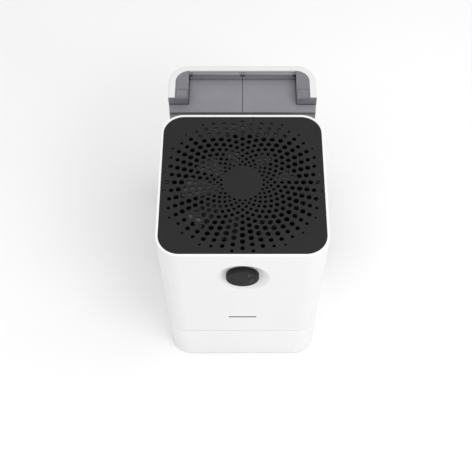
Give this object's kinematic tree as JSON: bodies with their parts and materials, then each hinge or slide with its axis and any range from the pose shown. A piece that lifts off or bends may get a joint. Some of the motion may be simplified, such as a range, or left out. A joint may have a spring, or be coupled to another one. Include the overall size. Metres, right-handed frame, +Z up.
{
  "type": "dehumidifier",
  "caption": "Square tower dehumidifier with a round-patterned top grille, a front control knob and a water tank that draws out at the back.",
  "frame": {"origin": "middle of the body footprint, on the floor", "axes": "+Z up, the knob faces -Y, the tank draws out along +Y"},
  "size_m": [0.28, 0.4578, 0.406],
  "materials": {
    "white_plastic": "fine satin moulding",
    "base_plastic": "fine satin moulding",
    "shell_plastic": "fine satin moulding",
    "grille_plastic": "charcoal, fine grain",
    "dark_plastic": "black, fine grain",
    "inner_plastic": "plain moulding",
    "rubber": "matt",
    "zinc_steel": "bright zinc",
    "motor_steel": "zinc plated",
    "black_paint": "satin enamel",
    "copper": "drawn copper",
    "fin_aluminium": "mill finish",
    "capacitor_can": "drawn can",
    "board_green": "solder mask",
    "contact_metal": "nickel plated",
    "knob_plastic": "charcoal, satin",
    "knob_gloss": "smooth",
    "indicator_white": "clear window",
    "mark_ink": "printed bar",
    "filter_cloth": "fine net",
    "tank_plastic": "grey, satin",
    "lid_plastic": "grey, satin",
    "catch_plastic": "grey, satin"
  },
  "bodies": {
    "body": {"body_shell": "white_plastic", "base_housing": "base_plastic", "base_pan": "dark_plastic", "tank_rails": "zinc_steel", "feet": "rubber", "base_screws": "zinc_steel", "grille": "grille_plastic", "bay_wall": "inner_plastic", "fan_deck": "dark_plastic", "deck_screws": "zinc_steel", "motor_mount": "dark_plastic", "fan_motor": "motor_steel", "compressor": "black_paint", "terminal_cover": "dark_plastic", "compressor_grommets": "rubber", "compressor_studs": "zinc_steel", "compressor_nuts": "zinc_steel", "accumulator": "black_paint", "discharge_pipe": "copper", "suction_pipe": "copper", "return_pipe": "copper", "liquid_pipe": "copper", "drier": "copper", "capillary_tube": "copper", "evaporator_fins": "fin_aluminium", "evaporator_tubes": "copper", "condenser_fins": "fin_aluminium", "condenser_tubes": "copper", "coil_frame": "zinc_steel", "drip_tray": "inner_plastic", "capacitor": "capacitor_can", "board_tray": "inner_plastic", "main_board": "board_green", "power_inlet": "dark_plastic", "inlet_pins": "contact_metal", "humidity_sensor": "board_green", "tank_sensor": "dark_plastic", "control_board": "board_green", "encoder": "dark_plastic", "knob_spring": "zinc_steel", "front_mark": "mark_ink"},
    "fan": {"impeller": "dark_plastic", "motor_shaft": "zinc_steel"},
    "knob_slide": {"knob_carrier": "inner_plastic"},
    "knob": {"knob": "knob_plastic", "knob_face": "knob_gloss", "knob_marks": "indicator_white"},
    "intake": {"intake_grille": "white_plastic", "filter_frame": "dark_plastic", "filter_mesh": "filter_cloth"},
    "tank_unit": {"tank_shell": "shell_plastic", "tank": "tank_plastic", "tank_deck": "tank_plastic", "tank_runners": "dark_plastic", "lid_pin": "zinc_steel"},
    "lid_left": {"lid_left": "lid_plastic"},
    "lid_right": {"lid_right": "lid_plastic"},
    "catch_left": {"catch_left": "catch_plastic"},
    "catch_right": {"catch_right": "catch_plastic"},
    "float": {"float": "inner_plastic"}
  },
  "joints": [
    {"name": "tank_slide", "type": "slide", "parent": "body", "child": "tank_unit", "axis": [0, 1, 0], "range_m": [-0.1765, 0.12]},
    {"name": "lid_left_hinge", "type": "hinge", "parent": "tank_unit", "child": "lid_left", "pos_m": [0, 0.2995, 0.3285], "axis": [-1, 0, 0], "range_deg": [0, 100]},
    {"name": "lid_right_hinge", "type": "hinge", "parent": "tank_unit", "child": "lid_right", "pos_m": [0, 0.2995, 0.3285], "axis": [-1, 0, 0], "range_deg": [0, 100]},
    {"name": "catch_left_press", "type": "slide", "parent": "tank_unit", "child": "catch_left", "axis": [0, 0, -1], "range_m": [0, 0.003], "stiffness_N_per_m": 500, "springref_m": -0.002},
    {"name": "catch_right_press", "type": "slide", "parent": "tank_unit", "child": "catch_right", "axis": [0, 0, -1], "range_m": [0, 0.003], "stiffness_N_per_m": 500, "springref_m": -0.002},
    {"name": "float_hinge", "type": "hinge", "parent": "tank_unit", "child": "float", "pos_m": [0.072, 0.207, 0.17], "axis": [1, 0, 0], "range_deg": [0, 25]},
    {"name": "intake_pull", "type": "slide", "parent": "body", "child": "intake", "axis": [-1, 0, 0], "range_m": [0, 0.06]},
    {"name": "knob_press", "type": "slide", "parent": "body", "child": "knob_slide", "axis": [0, 1, 0], "range_m": [0, 0.0012], "stiffness_N_per_m": 1500, "springref_m": -0.001, "deforming": ["knob_spring"]},
    {"name": "knob_turn", "type": "hinge", "parent": "knob_slide", "child": "knob", "pos_m": [0, -0.14, 0.3275], "axis": [0, -1, 0], "continuous": true},
    {"name": "fan_spin", "type": "hinge", "parent": "body", "child": "fan", "pos_m": [0, 0, 0.37], "axis": [0, 0, 1], "continuous": true}
  ]
}
